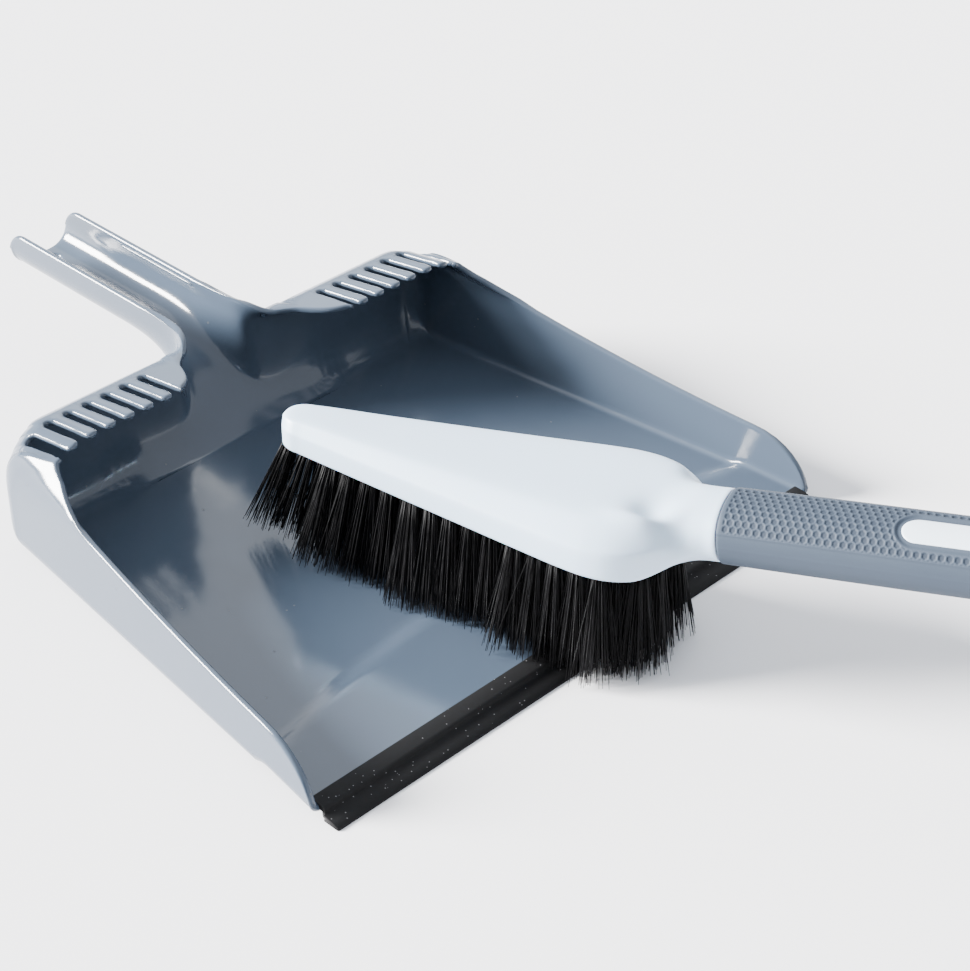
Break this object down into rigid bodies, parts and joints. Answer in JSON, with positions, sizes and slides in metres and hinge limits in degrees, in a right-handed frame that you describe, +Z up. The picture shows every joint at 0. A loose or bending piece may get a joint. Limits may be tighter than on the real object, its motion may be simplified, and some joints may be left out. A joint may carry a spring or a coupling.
{
  "type": "dustpan and brush",
  "caption": "Wide dustpan with soft lip, comb slots in its hood and open channel handle, with a slant-headed hand brush resting in it.",
  "frame": {"origin": "on the flat underside of the pan, 110 mm behind the lip's front edge, midway between the side walls", "axes": "+X towards the pan's right wall, +Y towards the pan's channel handle, +Z up from the table"},
  "size_m": [0.2666, 0.5144, 0.0919],
  "materials": {
    "pan_plastic": "glossy blue-grey moulding",
    "lip_rubber": "matt black soft rubber",
    "pale_plastic": "satin pale ice blue",
    "grip_rubber": "matt grey with honeycomb relief",
    "badge_plastic": "satin pale insert",
    "bristle": "black synthetic bristle",
    "anchor_wire": "flat wire"
  },
  "bodies": {
    "pan": {"pan_shell": "pan_plastic", "lip": "lip_rubber"},
    "brush": {"brush_head": "pale_plastic", "grip_sleeve": "grip_rubber", "grip_badge": "badge_plastic", "end_cap": "pale_plastic", "tuft_row_1": "bristle", "tuft_row_2": "bristle", "tuft_row_3": "bristle", "tuft_row_4": "bristle", "tuft_row_5": "bristle", "tuft_row_6": "bristle", "tuft_row_7": "bristle", "anchor_row_1": "anchor_wire", "anchor_row_2": "anchor_wire", "anchor_row_3": "anchor_wire", "anchor_row_4": "anchor_wire", "anchor_row_5": "anchor_wire", "anchor_row_6": "anchor_wire", "anchor_row_7": "anchor_wire"}
  },
  "joints": [
    {"name": "brush_lift", "type": "slide", "parent": "pan", "child": "brush", "axis": [0, 0, 1], "range_m": [0, 0.2]}
  ]
}
